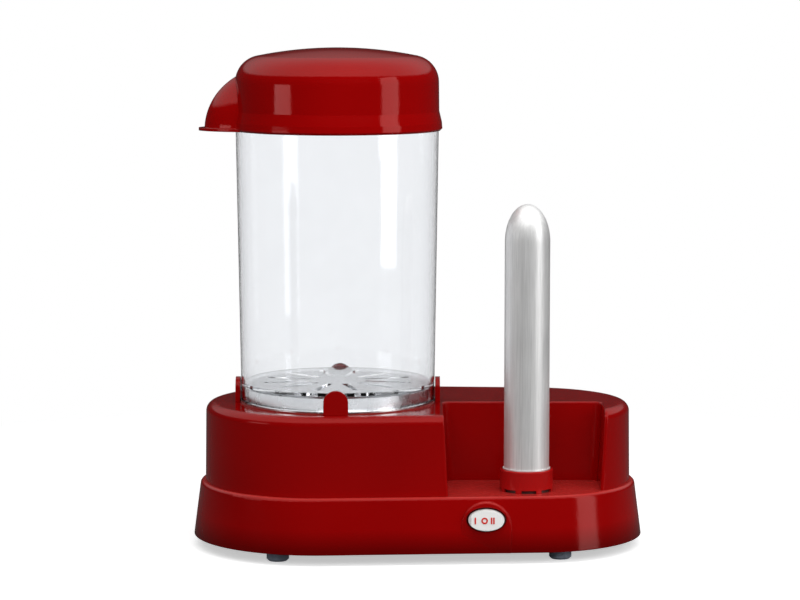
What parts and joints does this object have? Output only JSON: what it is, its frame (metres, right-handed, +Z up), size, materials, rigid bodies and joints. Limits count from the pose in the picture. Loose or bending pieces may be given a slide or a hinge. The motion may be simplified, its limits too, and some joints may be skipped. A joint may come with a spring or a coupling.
{
  "type": "hot dog toaster",
  "caption": "Steamer for sausages with a lift-off clear container and domed lid, and a heated spike for the bun, on one base with a rocker switch.",
  "frame": {"origin": "centre of the base's footprint, on the surface that the feet stand on", "axes": "+X to the user's right, from the container to the bun's bay; the front with the switch faces -Y; +Z up"},
  "size_m": [0.27, 0.151, 0.2987],
  "materials": {
    "red_housing": "glossy, fine moulded surface",
    "red_plinth": "glossy, fine moulded surface",
    "red_lid": "glossy, polished",
    "red_collar": "glossy",
    "black_plastic": "fine texture",
    "screw_steel": "zinc plated",
    "dish_steel": "spun, satin",
    "sheet_steel": "galvanised sheet",
    "heater_steel": "heat tinted",
    "thermostat_shell": "ceramic coloured",
    "fuse_metal": "satin",
    "spike_aluminium": "satin, drawn along its length",
    "silicone": "matte",
    "terminal_brass": "plain",
    "white_plastic": "plain",
    "white_rocker": "semi gloss",
    "red_mark": "printed",
    "gland_rubber": "matte",
    "foot_rubber": "matte",
    "lead_brown": "insulated wire",
    "lead_blue": "insulated wire",
    "clear_plastic": "clear"
  },
  "bodies": {
    "base": {"base_plinth": "red_plinth", "base_housing": "red_housing", "housing_screws": "screw_steel", "container_tabs": "red_housing", "bottom_cover": "black_plastic", "cover_screws": "screw_steel", "water_dish": "dish_steel", "bun_spike": "spike_aluminium", "spike_collar": "red_collar", "cord_gland": "gland_rubber", "foot_front_left": "foot_rubber", "foot_rear_left": "foot_rubber", "foot_front_right": "foot_rubber", "foot_rear_right": "foot_rubber", "ring_heater": "heater_steel", "dish_bracket": "sheet_steel", "bracket_screws": "screw_steel", "dish_thermostat": "thermostat_shell", "heat_shield": "sheet_steel", "thermal_fuse": "fuse_metal", "spike_heater": "heater_steel", "spike_retainer": "sheet_steel", "retainer_screws": "screw_steel", "spike_seal": "silicone", "switch_body": "black_plastic", "switch_pin": "screw_steel", "switch_terminals": "terminal_brass", "terminal_block": "white_plastic", "dish_gasket": "silicone", "heater_lead_live": "lead_brown", "heater_lead_neutral": "lead_blue", "spike_lead_live": "lead_brown", "spike_lead_neutral": "lead_blue", "switch_lead": "lead_brown"},
    "container": {"container": "clear_plastic"},
    "lid": {"lid": "red_lid"},
    "rocker": {"switch_rocker": "white_rocker", "rocker_marks": "red_mark"}
  },
  "joints": [
    {"name": "container_lift", "type": "slide", "parent": "base", "child": "container", "axis": [0, 0, 1], "range_m": [0, 0.04]},
    {"name": "lid_lift", "type": "slide", "parent": "container", "child": "lid", "axis": [0, 0, 1], "range_m": [0, 0.06]},
    {"name": "switch_rock", "type": "hinge", "parent": "base", "child": "rocker", "pos_m": [0.0396, -0.06299, 0.0268], "axis": [0, 0, 1], "range_deg": [-10, 10]}
  ]
}
